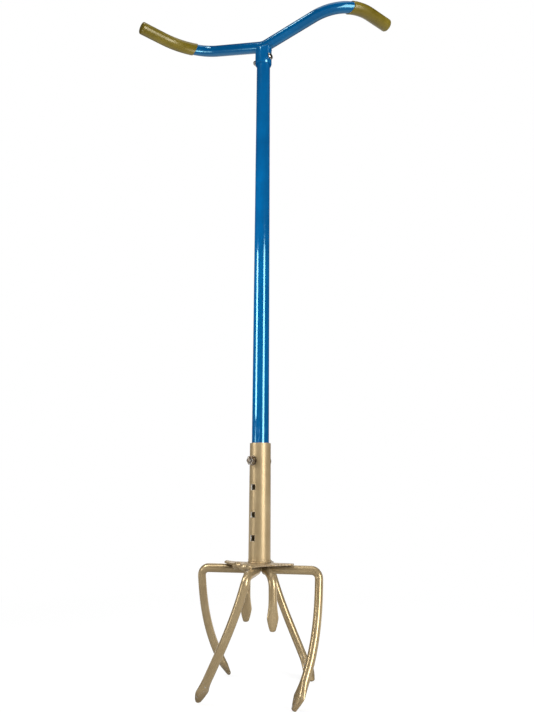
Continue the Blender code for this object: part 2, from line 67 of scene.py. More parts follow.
# Each softbox stands facing the tubes, at a bearing from -Y towards +X.
for name, bearing, distance, low, high, width, watts in (
    ("right_softbox", 49, 1.5, 0.0, 1.21, 0.58, 22.5),
    ("left_softbox", -56, 0.40, 0.352, 0.71, 0.14, 1.9),
    ("left_card", -60, 1.2, 0.08, 0.40, 0.32, 1.7),
):
    turn = math.radians(bearing)
    place = (distance * math.sin(turn), -distance * math.cos(turn), (low + high) / 2)
    bpy.ops.object.light_add(type="AREA", location=place, rotation=(math.radians(90), 0, turn))
    softbox = bpy.context.object
    softbox.name = name
    softbox.data.shape = "RECTANGLE"
    softbox.data.size = width
    softbox.data.size_y = high - low
    softbox.data.energy = watts
    softbox.visible_camera = False

bpy.ops.object.light_add(
    type="AREA", location=(-0.578, -0.787, 2.08), rotation=(math.radians(42), 0, math.radians(-40)),
)
arm_lamp = bpy.context.object
arm_lamp.name = "arm_lamp"
arm_lamp.data.shape = "RECTANGLE"
arm_lamp.data.size = 0.19
arm_lamp.data.size_y = 0.40
arm_lamp.data.energy = 3.4
arm_lamp.visible_camera = False
bpy.ops.object.light_add(type="AREA", location=(0.2, -0.6, 2.6), rotation=(math.radians(13), 0, 0))
top_lamp = bpy.context.object
top_lamp.name = "top_lamp"
top_lamp.data.size = 1.2
top_lamp.data.energy = 6


def add_node(tree, kind, **levels):
    """A shader node with some of its sockets set."""
    node = tree.nodes.new(kind)
    for socket, level in levels.items():
        node.inputs[socket].default_value = level
    return node.outputs[0]


def add_math(tree, operation, *terms):
    """Arithmetic on plain numbers and on other nodes' outputs."""
    sum_node = tree.nodes.new("ShaderNodeMath")
    sum_node.operation = operation
    for socket, term in zip(sum_node.inputs, terms):
        if isinstance(term, float):
            socket.default_value = term
        else:
            tree.links.new(term, socket)
    return sum_node.outputs[0]


def add_vector_math(tree, operation, source, other=(0, 0, 0)):
    """The node of a vector operation on an output, and a plain vector where it takes two."""
    node = tree.nodes.new("ShaderNodeVectorMath")
    node.operation = operation
    node.inputs[1].default_value = other
    tree.links.new(source, node.inputs[0])
    return node


def add_range(tree, source, low, high, to_low=0.0, to_high=1.0):
    """A value mapped from one range to another and held at its ends."""
    span = tree.nodes.new("ShaderNodeMapRange")
    span.inputs["From Min"].default_value = low
    span.inputs["From Max"].default_value = high
    span.inputs["To Min"].default_value = to_low
    span.inputs["To Max"].default_value = to_high
    tree.links.new(source, span.inputs["Value"])
    return span.outputs["Result"]


def along_axis(tree, axis, source="Object"):
    """One axis of the point's place on the piece, or of its normal."""
    axes = tree.nodes.new("ShaderNodeSeparateXYZ")
    tree.links.new(tree.nodes.new("ShaderNodeTexCoord").outputs[source], axes.inputs[0])
    return axes.outputs[axis]


def mix_shaders(tree, factor, one, two):
    """Two shaders mixed by a factor: 0 is all of the first, 1 all of the second."""
    mix = tree.nodes.new("ShaderNodeMixShader")
    for socket, source in zip(mix.inputs, (factor, one, two)):
        tree.links.new(source, socket)
    return mix.outputs[0]


def show_by_ray(tree, to_light, in_gloss, to_camera):
    """One shader for rays that light things, one for mirrored or clear rays, one for the camera."""
    rays = tree.nodes.new("ShaderNodeLightPath").outputs
    glossy_or_clear = add_math(tree, "MAXIMUM", rays["Is Glossy Ray"], rays["Is Transmission Ray"])
    unseen = mix_shaders(tree, glossy_or_clear, to_light, in_gloss)
    return mix_shaders(tree, rays["Is Camera Ray"], unseen, to_camera)


white = (1, 1, 1, 1)
room = bpy.data.worlds.new("studio")
bpy.context.scene.world = room
room.use_nodes = True
sky = room.node_tree
sky.nodes.clear()
fill_light = add_node(sky, "ShaderNodeBackground", Color=white, Strength=0.27)
white_wall = add_node(sky, "ShaderNodeBackground", Color=white, Strength=1.0)
dim_room = add_node(sky, "ShaderNodeBackground", Color=white, Strength=0.04)
way = sky.nodes.new("ShaderNodeTexCoord").outputs["Generated"]
level_way = add_vector_math(sky, "MULTIPLY", way, (1, 1, 0)).outputs["Vector"]
level_way = add_vector_math(sky, "NORMALIZE", level_way).outputs["Vector"]
backwards = add_vector_math(sky, "DOT_PRODUCT", level_way, (-0.18, 0.984, 0)).outputs["Value"]
behind_tool = add_range(sky, backwards, 0.955, 0.98)
mirrored = mix_shaders(sky, behind_tool, dim_room, white_wall)
shown = show_by_ray(sky, fill_light, mirrored, white_wall)
sky.links.new(shown, sky.nodes.new("ShaderNodeOutputWorld").inputs[0])

# The paper keeps the tool's faint shadow near its feet, and further off it is plain white.
bpy.ops.object.select_all(action="DESELECT")
bpy.ops.mesh.primitive_plane_add(size=8)
floor = bpy.context.object
floor.name = "floor"
paper = bpy.data.materials.new("white_paper")
paper.use_nodes = True
tree = paper.node_tree
tree.nodes.clear()
plain_paper = add_node(tree, "ShaderNodeBsdfDiffuse", Color=(0.55, 0.55, 0.55, 1))
shadow_catcher = add_node(tree, "ShaderNodeBsdfDiffuse", Color=(0.24, 0.24, 0.24, 1))
glow = add_node(tree, "ShaderNodeEmission", Strength=0.86)
white_paper = add_node(tree, "ShaderNodeEmission", Strength=1.0)
dim_paper = add_node(tree, "ShaderNodeEmission", Strength=0.42)
near_tool = tree.nodes.new("ShaderNodeAddShader")
tree.links.new(shadow_catcher, near_tool.inputs[0])
tree.links.new(glow, near_tool.inputs[1])
place = tree.nodes.new("ShaderNodeTexCoord").outputs["Object"]
from_tool = add_vector_math(tree, "LENGTH", place).outputs["Value"]
far_off = add_range(tree, from_tool, 0.25, 0.80)
paper_seen = mix_shaders(tree, far_off, near_tool.outputs[0], white_paper)
behind_tool = add_range(tree, along_axis(tree, "Y"), 0.10, 0.40)
mirrored = mix_shaders(tree, behind_tool, dim_paper, paper_seen)
shown = show_by_ray(tree, plain_paper, mirrored, paper_seen)
tree.links.new(shown, tree.nodes.new("ShaderNodeOutputMaterial").inputs[0])
floor.data.materials.append(paper)

# ---- Tines ----
# Six round steel rods, bent hot and forged into blunt spear points, then dipped in champagne-gold
# paint. The four long ones sweep round the tubes; the two short ones hang down between the arms.
rod_width = 0.0098
arm_height = 0.1248
rod_sides = 12
rod_fullness = 1.0 / (2 / 3 + math.cos(2 * math.pi / rod_sides) / 3)
blade_length = 0.029
blade_widest = 0.0137
blade_thickness = 0.0075
point_width = 0.0083
point_thickness = 0.0050
point_round = 0.0026
point_end_share = 0.32


def new_finish(name):
    """An empty node material and its Principled shader."""
    finish = bpy.data.materials.new(name)
    finish.use_nodes = True
    return finish, finish.node_tree, finish.node_tree.nodes["Principled BSDF"]


def add_noise(tree, scale, detail, place=None):
    """A noise pattern in real size on the piece."""
    speckle = tree.nodes.new("ShaderNodeTexNoise")
    speckle.inputs["Scale"].default_value = scale
    speckle.inputs["Detail"].default_value = detail
    if place is None:
        place = tree.nodes.new("ShaderNodeTexCoord").outputs["Object"]
    tree.links.new(place, speckle.inputs["Vector"])
    return speckle.outputs["Fac"]


def add_ramp(tree, source, stops, tone=1.0):
    """A colour ramp from (position, colour) stops, its colours scaled by a tone."""
    ramp = tree.nodes.new("ShaderNodeValToRGB")
    bar = ramp.color_ramp
    while len(bar.elements) < len(stops):
        bar.elements.new(0.5)
    for element, (position, colour) in zip(bar.elements, stops):
        element.position = position
        element.color = (*(tone * part for part in colour), 1)
    tree.links.new(source, ramp.inputs["Fac"])
    return ramp.outputs["Color"]


def add_bump(tree, shader, source, strength, distance, under=None):
    """Relief from a pattern, on top of any relief already there."""
    bump = tree.nodes.new("ShaderNodeBump")
    bump.inputs["Strength"].default_value = strength
    bump.inputs["Distance"].default_value = distance
    tree.links.new(source, bump.inputs["Height"])
    if under is not None:
        tree.links.new(under, bump.inputs["Normal"])
    tree.links.new(bump.outputs["Normal"], shader.inputs["Normal"])
    return bump.outputs["Normal"]


def mix_colours(tree, factor, one, two):
    """Two colours mixed by a pattern."""
    mix = tree.nodes.new("ShaderNodeMix")
    mix.data_type = "RGBA"
    tree.links.new(factor, mix.inputs["Factor"])
    for socket, colour in ((mix.inputs["A"], one), (mix.inputs["B"], two)):
        if isinstance(colour, tuple):
            socket.default_value = (*colour, 1)
        else:
            tree.links.new(colour, socket)
    return mix.outputs["Result"]


def dull_where(tree, factor, rough, dull=0.5):
    """A roughness that rises to a dull one where a pattern is 1."""
    mix = tree.nodes.new("ShaderNodeMix")
    tree.links.new(factor, mix.inputs["Factor"])
    tree.links.new(rough, mix.inputs["A"])
    mix.inputs["B"].default_value = dull
    return mix.outputs["Result"]


def gold_paint(name, worn_tips=False, spatter=0.0, satin=0.0, tone=1.0):
    """Champagne-gold paint with fine metal flake and a slight orange peel. Worn tips are dull and
    chipped low down, spatter is the rough, brown-flecked crust that welding leaves, satin softens
    the shine, and tone scales the colour. Heavy spatter also darkens faces that turn downwards,
    as painted shade."""
    finish, tree, shader = new_finish(name)
    cloud = add_noise(tree, 45, 3)
    colour = add_ramp(tree, cloud, (
        (0.30, (0.43, 0.312, 0.160)), (0.52, (0.48, 0.358, 0.193)), (0.75, (0.53, 0.404, 0.226)),
    ), tone)
    flake = add_noise(tree, 2600, 1)
    colour = mix_colours(tree, add_range(tree, flake, 0.56, 0.80), colour, (0.56, 0.45, 0.28))
    rough = add_range(tree, cloud, 0.3, 0.7, 0.21 + satin, 0.27 + satin)
    peel = add_noise(tree, 190, 2)
    normal = add_bump(tree, shader, peel, 0.012, 0.0002)
    if worn_tips:
        height = along_axis(tree, "Z")
        ragged = add_noise(tree, 160, 4)
        edge = add_math(tree, "MULTIPLY_ADD", ragged, 0.008, height)
        worn = add_range(tree, edge, 0.0195, 0.0125)
        chipped = add_range(tree, add_noise(tree, 420, 3), 0.64, 0.66)
        low_down = add_range(tree, height, 0.036, 0.020)
        chips = add_math(tree, "MULTIPLY", chipped, low_down)
        colour = mix_colours(tree, worn, colour, (0.35, 0.255, 0.135))
        colour = mix_colours(tree, chips, colour, (0.58, 0.54, 0.47))
        rough = dull_where(tree, worn, rough)
        scars = add_math(tree, "MULTIPLY", ragged, worn)
        normal = add_bump(tree, shader, scars, 0.15, 0.0004, normal)
    if spatter:
        crust = add_noise(tree, 480, 5)
        brown = add_range(tree, crust, 0.50, 0.64, 0, spatter)
        pale = add_range(tree, add_noise(tree, 700, 2), 0.56, 0.68, 0, spatter)
        colour = mix_colours(tree, brown, colour, (0.17, 0.105, 0.06))
        colour = mix_colours(tree, pale, colour, (0.72, 0.62, 0.55))
        rough = add_range(tree, crust, 0.35, 0.65, 0.32, 0.36 + 0.24 * spatter)
        add_bump(tree, shader, crust, 0.6 * spatter, 0.0008, normal)
    # Painted shade: with heavy spatter, faces that turn downwards are darkened to a deep brown.
    if spatter > 0.5:
        painted_shade_below = add_range(tree, along_axis(tree, "Z", "Normal"), 0.15, -0.5, 0, 0.85)
        colour = mix_colours(tree, painted_shade_below, colour, (0.10, 0.065, 0.04))
    tree.links.new(colour, shader.inputs["Base Color"])
    tree.links.new(rough, shader.inputs["Roughness"])
    shader.inputs["Metallic"].default_value = 0.50
    shader.inputs["Specular IOR Level"].default_value = 0.35
    return finish


def tine_line(arm_start, radius, spread, bend, rate, curl, foot):
    """A tine's centreline, its arm along +X: out, round the bend, down and back round the tubes.
    It sweeps round by rate degrees evenly, and by curl degrees more and more towards its foot."""
    arm_steps, bend_steps, fall_step = 4, 12, 0.0048
    tilt = math.atan(radius * math.radians(rate) / (arm_height - foot))
    fall = Vector((0, -math.sin(tilt), -math.cos(tilt)))
    out = Vector((1, 0, 0))
    corner = Vector((radius - bend, 0, arm_height))
    line = []
    for i in range(arm_steps + 1):
        line.append(Vector((arm_start + (corner.x - arm_start) * i / arm_steps, 0, arm_height)))
    for i in range(1, bend_steps + 1):
        a = math.pi / 2 * i / bend_steps
        line.append(corner + bend * (math.sin(a) * out + (1 - math.cos(a)) * fall))
    top = line[-1]
    first = math.atan2(top.y, top.x)
    steps = max(6, round((top.z - foot) / fall_step))
    for i in range(1, steps + 1):
        u = i / steps
        bearing = first - math.radians(rate * u + curl * u * u)
        r = radius + spread * u * u
        height = top.z + (foot - top.z) * u
        line.append(Vector((r * math.cos(bearing), r * math.sin(bearing), height)))
    return line


def forged_section(left, shoulder_width):
    """The rod's width and thickness at a distance from its tip: flared to the shoulder, then drawn
    to a blunt point."""
    if left >= blade_length:
        return rod_width, rod_width
    if left >= blade_widest:
        t = (blade_length - left) / (blade_length - blade_widest)
        width = rod_width + (shoulder_width - rod_width) * t ** 1.4
        return width, rod_width + (blade_thickness - rod_width) * t
    t = max(0.0, left - point_round) / (blade_widest - point_round)
    rounded = math.sqrt(max(0.0, 1 - (1 - min(1.0, left / point_round)) ** 2))
    end = rounded * (1 - point_end_share) + point_end_share
    width = point_width + (shoulder_width - point_width) * t ** 0.75
    return width * end, (point_thickness + (blade_thickness - point_thickness) * t) * end


def forge_tine(name, line, shoulder_width, flat_turn, finish):
    """A rod drawn out ring by ring along its line, forged flat and six-sided near its rounded
    tip. The blade lies turned by flat_turn degrees."""
    least_gap = 0.0015
    round_above, round_fade = 0.015, 0.012
    sharp_below, sharp_fade, sharpest = 0.024, 0.008, 0.75
    lengths = [0.0]
    for a, b in zip(line, line[1:]):
        lengths.append(lengths[-1] + (b - a).length)
    blade_rings = (
        blade_length, 0.025, 0.021, 0.0172, 0.0150, 0.0134, 0.0110, 0.0080, 0.005, point_round,
        0.0014, 0.0006,
    )
    marks = [lengths[-1] - left for left in blade_rings]
    stops = sorted([g for g in lengths[:-1] if g < marks[0] - least_gap] + marks + [lengths[-1]])
    spots = []
    for stop in stops:
        i = max(k for k in range(len(lengths) - 1) if lengths[k] <= stop + 1e-9)
        share = (stop - lengths[i]) / (lengths[i + 1] - lengths[i])
        spots.append(line[i].lerp(line[i + 1], share))
    bpy.ops.object.select_all(action="DESELECT")
    bpy.ops.mesh.primitive_circle_add(vertices=rod_sides, radius=1, fill_type="NGON")
    tine = bpy.context.object
    tine.name = tine.data.name = name
    bpy.ops.object.mode_set(mode="EDIT")
    shape = bmesh.from_edit_mesh(tine.data)
    crease = shape.edges.layers.float.new("crease_edge")
    c, s = math.cos(math.radians(flat_turn)), math.sin(math.radians(flat_turn))
    before = Matrix.Identity(4)
    for i, spot in enumerate(spots):
        along = (spots[min(i + 1, len(spots) - 1)] - spots[max(i - 1, 0)]).normalized()
        outward = Vector((spot.x, spot.y, 0)).normalized()
        if abs(along.dot(outward)) > 0.2:  # on the arm and in the bend
            thin = Vector((0, 0, 1)).cross(outward).normalized()
            wide = along.cross(thin).normalized()
        else:
            wide = (outward - along.dot(outward) * along).normalized()
            thin = wide.cross(along).normalized()
        wide, thin = c * wide + s * thin, c * thin - s * wide
        left = stops[-1] - stops[i]
        width, thickness = forged_section(left, shoulder_width)
        full = 1 + (rod_fullness - 1) * min(1.0, max(0.0, (left - round_above) / round_fade))
        place = Matrix.Identity(4)
        columns = (wide * width / 2 * full, thin * thickness / 2 * full, along * 0.01, spot)
        for column, axis in enumerate(columns):
            place.col[column].xyz = axis
        if i:
            bpy.ops.mesh.extrude_region_move()
        ring = [v for v in shape.verts if v.select]
        bmesh.ops.transform(shape, matrix=place @ before.inverted(), verts=ring)
        before = place
        if left < sharp_below:
            back = place.inverted()
            sharp = sharpest * min(1.0, (sharp_below - left) / sharp_fade)
            for v in ring:
                at = back @ v.co
                if round(math.degrees(math.atan2(at.y, at.x)) / 30) % 2 == 0:
                    for e in v.link_edges:
                        if not e.other_vert(v).select:
                            e[crease] = sharp
    bmesh.update_edit_mesh(tine.data)
    bpy.ops.mesh.select_all(action="SELECT")
    bpy.ops.mesh.normals_make_consistent(inside=False)
    bpy.ops.object.mode_set(mode="OBJECT")
    rounding = tine.modifiers.new("rounding", "SUBSURF")
    rounding.levels = rounding.render_levels = 2
    bpy.ops.object.modifier_apply(modifier=rounding.name)
    bpy.ops.object.shade_smooth_by_angle(angle=math.radians(28))
    tine.data.materials.append(finish)
    return tine


def pick(piece):
    """Selects one piece alone, for the operators that follow."""
    bpy.ops.object.select_all(action="DESELECT")
    piece.select_set(True)
    bpy.context.view_layer.objects.active = piece


def turned_copy(piece, name, bearing):
    """A copy with its own mesh, turned about the tubes' axis."""
    pick(piece)
    bpy.ops.object.duplicate()
    twin = bpy.context.object
    twin.name = twin.data.name = name
    twin.rotation_euler.z = math.radians(bearing)
    bpy.ops.object.transform_apply(location=False, rotation=True, scale=False)
    return twin


long_tine_gold = gold_paint("long_tine_gold", worn_tips=True)
short_tine_gold = gold_paint("short_tine_gold")
long_line = tine_line(
    arm_start=0.0079, radius=0.0720, spread=0.0016, bend=0.0090, rate=27, curl=21, foot=0.0018,
)
long_tines = [forge_tine("long_tine_1", long_line, 0.0170, 0, long_tine_gold)]
for i in (2, 3, 4):
    long_tines.append(turned_copy(long_tines[0], f"long_tine_{i}", 90 * (i - 1)))

# The short rods start where they clear the long ones' arms, which they meet at a slant.
slant = math.radians(49)
arm_gap = 0.0003
short_start = (rod_width / 2 * (1 + math.sin(slant)) + arm_gap) / math.cos(slant)
short_line = tine_line(
    arm_start=short_start, radius=0.0313, spread=0, bend=0.0303 - short_start, rate=0, curl=0,
    foot=0.0644,
)
short_model = forge_tine("short_tine_model", short_line, 0.0148, 80, short_tine_gold)
short_tines = [
    turned_copy(short_model, "short_tine_1", -49), turned_copy(short_model, "short_tine_2", 131),
]
bpy.data.objects.remove(short_model, do_unlink=True)
for pieces, node in ((long_tines, "outer_tine_"), (short_tines, "inner_tine_")):
    for i, tine in enumerate(pieces):
        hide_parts(f"{node}{i + 1}")
        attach(tine, "tool")

# ---- Plate ----
# A three-cornered steel sheet, cut by hand and welded on the arms; its corner at the left is bent
# up. Spatter from the welds lies under the paint on its top.
pick(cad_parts["claw_plate"])
bpy.ops.object.duplicate()
plate = bpy.context.object
plate.name = plate.data.name = "plate"
for key in list(plate.keys()):
    del plate[key]
plate.parent = None
bpy.ops.object.mode_set(mode="EDIT")
bpy.ops.mesh.select_all(action="SELECT")
bpy.ops.mesh.remove_doubles(threshold=0.00002)
bpy.ops.mesh.tris_convert_to_quads()
bpy.ops.mesh.dissolve_limited(angle_limit=math.radians(2))
bpy.ops.object.mode_set(mode="OBJECT")


def round_edges(piece, width, segments, sharper_than=35):
    """Rounds a piece's edges over, where they are sharper than an angle in degrees."""
    rounding = piece.modifiers.new("rounded_edge", "BEVEL")
    rounding.width = width
    rounding.segments = segments
    rounding.limit_method = "ANGLE"
    rounding.angle_limit = math.radians(sharper_than)
    bpy.ops.object.modifier_apply(modifier=rounding.name)


round_edges(plate, 0.0005, 3, sharper_than=30)
bpy.ops.object.shade_smooth_by_angle(angle=math.radians(40))
plate.data.materials.clear()
# Its heavy spatter also darkens the plate's downward faces, as painted shade under the plate.
plate.data.materials.append(gold_paint("plate_gold", spatter=0.8))
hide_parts("claw_plate")
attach(plate, "tool")

# ---- Welds ----
# Lumpy beads of weld metal under the same gold paint: two rings round the foot of the lower tube,
# one along the plate's front edge, and blobs where the arms meet.


def weld_bead(name, spots, radii, seed, finish):
    """A row of melted drops run together along a line."""
    smallest = min(radii)
    bpy.ops.object.select_all(action="DESELECT")
    drops = []
    for spot, radius in zip(spots, radii):
        bpy.ops.mesh.primitive_ico_sphere_add(subdivisions=2, radius=radius, location=spot)
        drops.append(bpy.context.object)
    for drop in drops:
        drop.select_set(True)
    bpy.ops.object.join()
    bead = bpy.context.object
    bead.name = bead.data.name = name
    bpy.ops.object.transform_apply(location=True, rotation=True, scale=True)
    skin = bead.modifiers.new("melt", "REMESH")
    skin.mode = "VOXEL"
    skin.voxel_size = smallest / 3.2
    bpy.ops.object.modifier_apply(modifier=skin.name)
    bpy.ops.object.mode_set(mode="EDIT")
    bpy.ops.mesh.select_all(action="SELECT")
    bpy.ops.mesh.vertices_smooth(factor=0.6, repeat=3)
    bpy.ops.object.mode_set(mode="OBJECT")
    for v in bead.data.vertices:
        v.co += v.normal * noise.noise(v.co * 420 + Vector((seed, 0, 0))) * smallest * 0.28
    bpy.ops.object.shade_smooth()
    bead.data.materials.append(finish)
    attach(bead, "tool")
    return bead


def weld_ring(name, ring, thick, height, seed, finish):
    """A closed bead round the axis, lumpy where the drops of metal overlap. Height gives its rise
    at a bearing."""
    drops = 11
    bpy.ops.object.select_all(action="DESELECT")
    bpy.ops.mesh.primitive_torus_add(
        major_segments=180, minor_segments=12, major_radius=ring, minor_radius=thick,
    )
    bead = bpy.context.object
    bead.name = bead.data.name = name
    for v in bead.data.vertices:
        a = math.atan2(v.co.y, v.co.x)
        core = Vector((ring * math.cos(a), ring * math.sin(a), 0))
        drop = abs(math.sin(drops * a + seed + 0.8 * math.sin(3 * a)))
        lump = noise.noise(v.co * 380 + Vector((seed, 0, 0)))
        swell = 0.78 + 0.34 * drop + 0.35 * lump
        v.co = core + (v.co - core) * swell
        wander = noise.noise(Vector((4 * math.cos(a), 4 * math.sin(a), seed)))
        v.co.z += height(a) + 0.25 * thick * wander
    bpy.ops.object.shade_smooth()
    bead.data.materials.append(finish)
    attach(bead, "tool")
    return bead


weld_gold = gold_paint("weld_gold", spatter=0.25)
tube_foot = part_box("lower_tube")[0][2]
foot_weld = weld_ring(
    "foot_weld", 0.0134, 0.0007, lambda a: tube_foot + 0.0004, 3, weld_gold,
)
weld_ring("upper_weld", 0.0132, 0.0006, lambda a: tube_foot + 0.0028, 7, weld_gold)
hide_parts("tube_weld")
seam_drops, hub_drops = 15, 12
seam_spots, seam_radii = [], []
for k in range(seam_drops):
    t = k / (seam_drops - 1)
    height = 0.1303 + 0.0006 * math.sin(9 * t)
    seam_spots.append((-0.0245 + 0.0225 * t, -0.0225 - 0.0215 * t, height))
    seam_radii.append(0.0033 + 0.0008 * math.sin(13 * t) + 0.0005 * math.sin(29 * t + 1))
weld_bead("seam_weld", seam_spots, seam_radii, 17, weld_gold)
hub_spots, hub_radii = [], []
for k in range(hub_drops):
    a = 2 * math.pi * k / hub_drops + 0.35
    reach = 0.0075 + 0.0015 * math.sin(3 * a)
    height = 0.1266 + 0.0012 * math.sin(5 * a)
    hub_spots.append((reach * math.cos(a), reach * math.sin(a), height))
    hub_radii.append(0.0028 + 0.0006 * math.sin(7 * a))
weld_bead("hub_weld", hub_spots, hub_radii, 23, weld_gold)

# ---- Lower tube ----
# Steel tube welded upright on the plate, gold like the claw, square-punched through both walls for
# the height bolt. The punched edges are rounded over and catch the light.
tube_low, tube_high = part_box("lower_tube")
punch_heights = (0.2488, 0.2171, 0.1853, 0.1592)
punch_bearing = math.radians(60)
punch_width = 0.0066


def cut_rings(piece, heights):
    """Level cuts round a tube, so that its holes and ends don't spoil its long faces' shading."""
    pick(piece)
    bpy.ops.object.mode_set(mode="EDIT")
    for height in heights:
        bpy.ops.mesh.select_all(action="SELECT")
        bpy.ops.mesh.bisect(plane_co=(0, 0, height), plane_no=(0, 0, 1))
    bpy.ops.object.mode_set(mode="OBJECT")


def give_wall(piece, thickness):
    """Gives a tube's skin a wall, inwards."""
    wall = piece.modifiers.new("wall", "SOLIDIFY")
    wall.thickness = thickness
    wall.offset = -1
    bpy.ops.object.modifier_apply(modifier=wall.name)


def cut_through(tube, cutter):
    """Cuts a tube with a bar that is then removed."""
    pick(tube)
    hole = tube.modifiers.new("hole", "BOOLEAN")
    hole.operation = "DIFFERENCE"
    hole.solver = "EXACT"
    hole.object = cutter
    bpy.ops.object.modifier_apply(modifier=hole.name)
    bpy.data.objects.remove(cutter, do_unlink=True)


def even_normals(piece):
    """Lets the large faces set the shading, so that rounded edges don't tilt it."""
    pick(piece)
    evener = piece.modifiers.new("even_normals", "WEIGHTED_NORMAL")
    evener.keep_sharp = True
    evener.weight = 100
    bpy.ops.object.modifier_apply(modifier=evener.name)


bpy.ops.object.select_all(action="DESELECT")
bpy.ops.mesh.primitive_cylinder_add(
    vertices=128, radius=0.0135, depth=tube_high[2] - tube_low[2], end_fill_type="NOTHING",
    location=(0, 0, (tube_low[2] + tube_high[2]) / 2),
)
lower = bpy.context.object
lower.name = lower.data.name = "lower_tube_gold"
bpy.ops.object.transform_apply(location=True, rotation=True, scale=True)
by_holes = [height + gap for height in punch_heights for gap in (-0.006, 0.006)]
cut_rings(lower, by_holes + [tube_low[2] + 0.003, tube_high[2] - 0.003])
give_wall(lower, 0.002)
for height in punch_heights:
    bpy.ops.object.select_all(action="DESELECT")
    bpy.ops.mesh.primitive_cube_add(size=1, location=(0, 0, height), rotation=(0, 0, punch_bearing))
    punch = bpy.context.object
    punch.scale = (0.06, punch_width, punch_width)
    cut_through(lower, punch)
round_edges(lower, 0.0008, 3)
bpy.ops.object.shade_smooth_by_angle(angle=math.radians(30))
even_normals(lower)
lower.data.materials.append(gold_paint("lower_tube_paint", satin=0.17, tone=0.92))

# The faces by a hole that turn in from the tube's skin are coloured near-white, a painted
# highlight for the light that the punched edges catch.
edge_highlight, tree, shader = new_finish("punched_edge_painted_highlight")
edge_mottle = add_noise(tree, 900, 3)
bright = add_ramp(tree, edge_mottle, ((0.35, (0.62, 0.56, 0.46)), (0.6, (0.92, 0.90, 0.85))))
tree.links.new(bright, shader.inputs["Base Color"])
tree.links.new(add_range(tree, edge_mottle, 0.3, 0.7, 0.4, 0.25), shader.inputs["Roughness"])
add_bump(tree, shader, edge_mottle, 0.2, 0.0002)
shader.inputs["Metallic"].default_value = 0.15
lower.data.materials.append(edge_highlight)
sideways = Vector((-math.sin(punch_bearing), math.cos(punch_bearing), 0))
hole_reach = 0.0040
# Faces inside the holes take the near-white painted highlight.
for face in lower.data.polygons:
    spot = face.center
    turns_in = abs(face.normal.dot(Vector((spot.x, spot.y, 0)).normalized())) < 0.97
    by_hole = any(abs(spot.z - height) < hole_reach for height in punch_heights)
    by_hole = by_hole and abs(spot.dot(sideways)) < hole_reach
    if turns_in and by_hole and len(face.vertices) < 8:
        face.material_index = 1
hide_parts("lower_tube")
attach(lower, "tool")

# ---- Long tube ----
# Steel tube in glossy blue paint, drilled at both ends; it slides in the lower tube and carries the
# handle's socket. The paint is smooth and deep, with fine scuffs near the clamped end.


def blue_paint(name, scuff_below=None, shine=0.72, tone=1.0):
    """Glossy blue enamel over steel, slightly uneven, scuffed below a height if one is given. Shine
    is the strength of its reflections, and tone scales its colour."""
    finish, tree, shader = new_finish(name)
    cloud = add_noise(tree, 24, 3)
    colour = add_ramp(tree, cloud, (
        (0.30, (0.0, 0.082, 0.242)), (0.52, (0.0, 0.096, 0.275)), (0.72, (0.0, 0.110, 0.310)),
    ), tone)
    rough = add_range(tree, add_noise(tree, 90, 4), 0.35, 0.7, 0.09, 0.12)
    add_bump(tree, shader, add_noise(tree, 40, 1), 0.01, 0.0003)
    if scuff_below is not None:
        long_way = tree.nodes.new("ShaderNodeMapping")
        long_way.inputs["Scale"].default_value = (1, 1, 0.05)
        place = tree.nodes.new("ShaderNodeTexCoord").outputs["Object"]
        tree.links.new(place, long_way.inputs["Vector"])
        scratch = add_range(tree, add_noise(tree, 1500, 2, long_way.outputs["Vector"]), 0.62, 0.70)
        low_down = add_range(tree, along_axis(tree, "Z"), scuff_below + 0.03, scuff_below)
        scuffs = add_math(tree, "MULTIPLY", scratch, low_down)
        colour = mix_colours(tree, scuffs, colour, (0.08, 0.20, 0.42))
        rough = dull_where(tree, scuffs, rough)
    tree.links.new(colour, shader.inputs["Base Color"])
    tree.links.new(rough, shader.inputs["Roughness"])
    shader.inputs["IOR"].default_value = 1.8
    shader.inputs["Specular IOR Level"].default_value = shine
    shader.inputs["Specular Tint"].default_value = (0.40, 0.90, 1.0, 1.0)
    return finish


shaft_low, shaft_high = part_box("main_shaft")
bpy.ops.object.select_all(action="DESELECT")
bpy.ops.mesh.primitive_cylinder_add(
    vertices=96, radius=0.0111, depth=shaft_high[2] - shaft_low[2], end_fill_type="NOTHING",
    location=(0, 0, (shaft_low[2] + shaft_high[2]) / 2),
)
shaft = bpy.context.object
shaft.name = shaft.data.name = "long_tube"
bpy.ops.object.transform_apply(location=True, rotation=True, scale=True)
cut_rings(shaft, (0.2300, 0.2430, 0.2546, 0.2650, 0.8905, 0.9015, 0.9060))
give_wall(shaft, 0.0015)
for height, bearing, width in ((0.2488, 60, 0.0066), (0.8960, -25, 0.0056)):
    bpy.ops.object.select_all(action="DESELECT")
    bpy.ops.mesh.primitive_cylinder_add(
        vertices=32, radius=width / 2, depth=0.06, location=(0, 0, height),
        rotation=(math.radians(90), 0, math.radians(bearing + 90)),
    )
    cut_through(shaft, bpy.context.object)
round_edges(shaft, 0.0003, 2)
bpy.ops.object.shade_smooth_by_angle(angle=math.radians(30))
even_normals(shaft)
shaft.data.materials.append(blue_paint("long_tube_blue", scuff_below=0.285))
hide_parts("main_shaft")
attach(shaft, "tool")

# ---- Handlebar ----
# One tube bent into a long S, the same either way round: a tight bend over the socket, two straight
# arms and two sweeping bends. Blue like the long tube, but made darker as painted shade.
bar_radius = 0.0095
bar_height = 0.9234
arm_bearing, arm_rise, arm_length = -15.1, 16.7, 0.089
hand_bearing, hand_rise, hand_length = 47.3, 0.5, 0.0398
middle_bend, side_bend = 0.024, 0.0932


def heading(bearing, rise):
    """The unit vector at a bearing and a rise in degrees."""
    b, e = math.radians(bearing), math.radians(rise)
    return Vector((math.cos(b) * math.cos(e), math.sin(b) * math.cos(e), math.sin(e)))


